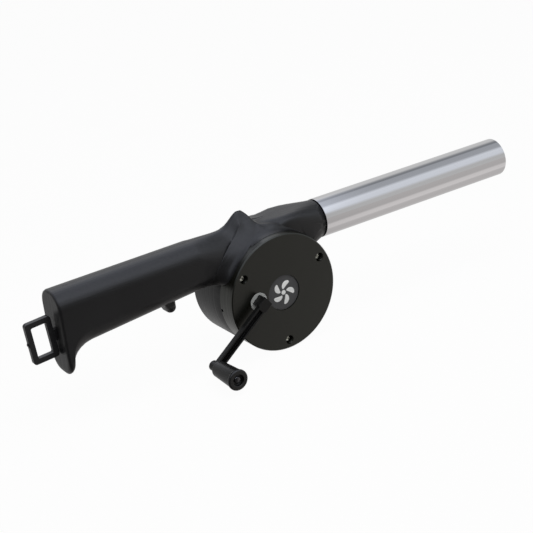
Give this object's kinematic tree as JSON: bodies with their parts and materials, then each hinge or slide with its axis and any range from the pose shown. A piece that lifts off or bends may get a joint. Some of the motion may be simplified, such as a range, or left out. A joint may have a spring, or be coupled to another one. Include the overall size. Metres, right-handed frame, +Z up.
{
  "type": "hand-cranked barbecue blower",
  "caption": "Hand-cranked fan blower for lighting charcoal: a round geared fan drum between a pistol-like plastic grip with a hang loop and a long polished steel blow pipe.",
  "frame": {"origin": "the fan's axis where it meets the flat intake face, which the blower can lie on", "axes": "+X from the grip to the pipe's mouth, +Y out of the intake face and away from the crank, +Z up as the blower is held"},
  "size_m": [0.4473, 0.0962, 0.1129],
  "materials": {
    "body_plastic": "satin black moulded ABS with a fine grain",
    "cover_plastic": "matt black moulded ABS, slightly lighter than the body",
    "badge": "dark grey printed disc",
    "zinc_screw": "pale zinc-plated steel",
    "polished_steel": "polished drawn stainless steel",
    "gear_plastic": "grey acetal",
    "crank_black": "black semi-gloss enamel",
    "knob_plastic": "black semi-gloss plastic",
    "plain_steel": "bright ground steel",
    "nylon": "natural nylon",
    "pinion_brass": "machined brass",
    "fan_plastic": "dark grey moulded plastic",
    "bush_brass": "sintered bronze"
  },
  "bodies": {
    "body": {"near_shell": "body_plastic", "far_shell": "body_plastic", "gear_cover": "cover_plastic", "badge_disc": "badge", "cover_screws": "zinc_screw", "shell_screws": "zinc_screw", "blow_pipe": "polished_steel", "hang_loop": "body_plastic", "crank_axle": "plain_steel", "idler_axle": "plain_steel", "front_bush": "bush_brass", "rear_bush": "bush_brass"},
    "crank": {"crank_gear": "gear_plastic", "crank_arm": "crank_black", "knob_pin": "crank_black"},
    "knob": {"knob_grip": "knob_plastic"},
    "idler": {"idler_gear": "nylon"},
    "fan": {"fan_shaft": "plain_steel", "fan_pinion": "pinion_brass", "impeller": "fan_plastic", "retaining_ring": "plain_steel", "thrust_washers": "plain_steel"}
  },
  "joints": [
    {"name": "crank_turn", "type": "hinge", "parent": "body", "child": "crank", "pos_m": [-0.0234, -0.058, 0], "axis": [0, 1, 0], "continuous": true},
    {"name": "idler_spin", "type": "hinge", "parent": "body", "child": "idler", "pos_m": [-0.00944, -0.045, 0.01853], "axis": [0, 1, 0], "continuous": true},
    {"name": "fan_spin", "type": "hinge", "parent": "body", "child": "fan", "pos_m": [0, -0.029, 0], "axis": [0, 1, 0], "continuous": true},
    {"name": "knob_spin", "type": "hinge", "parent": "crank", "child": "knob", "pos_m": [-0.07144, -0.082, -0.03594], "axis": [0, 1, 0], "continuous": true}
  ],
  "couplings": [
    {"joint": "idler_spin", "follows": "crank_turn", "ratio": -3.8333},
    {"joint": "fan_spin", "follows": "crank_turn", "ratio": 12.778}
  ]
}
